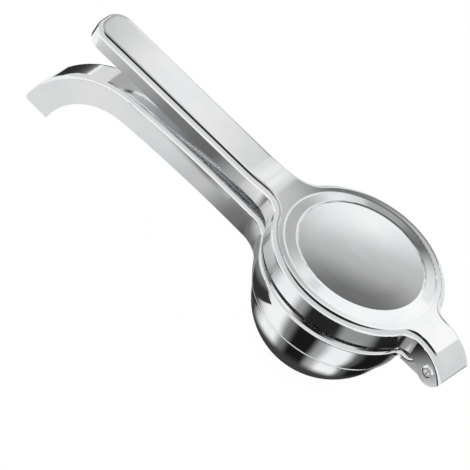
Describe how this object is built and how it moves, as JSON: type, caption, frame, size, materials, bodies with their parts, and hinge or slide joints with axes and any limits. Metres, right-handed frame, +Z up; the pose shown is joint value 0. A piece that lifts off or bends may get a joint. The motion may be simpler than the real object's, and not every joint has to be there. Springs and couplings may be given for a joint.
{
  "type": "hinged lemon squeezer",
  "caption": "Hinged citrus press: two stamped steel levers, drawn bowl with drain holes, domed plunger and riveted hinge.",
  "frame": {"origin": "centre of the flat bottom of the bowl, on the table", "axes": "+Z up along the bowl's axis, +X from the handles towards the hinge, +Y to one of the two mirrored sides"},
  "size_m": [0.2096, 0.0764, 0.058],
  "materials": {
    "press_lever_steel": "polished",
    "plunger_steel": "satin",
    "bowl_lever_steel": "polished",
    "bowl_steel": "polished",
    "pin_steel": "polished",
    "bush_steel": "turned",
    "washer_steel": "satin"
  },
  "bodies": {
    "bowl_side": {"bowl_lever": "bowl_lever_steel", "squeeze_bowl": "bowl_steel", "hinge_bush": "bush_steel", "hinge_washer_near": "washer_steel", "hinge_washer_far": "washer_steel"},
    "press_side": {"press_lever": "press_lever_steel", "press_plunger": "plunger_steel", "hinge_pin": "pin_steel"}
  },
  "joints": [
    {"name": "lever_hinge", "type": "hinge", "parent": "bowl_side", "child": "press_side", "pos_m": [0.0517, 0, 0.047], "axis": [0, 1, 0], "range_deg": [0, 95]}
  ]
}
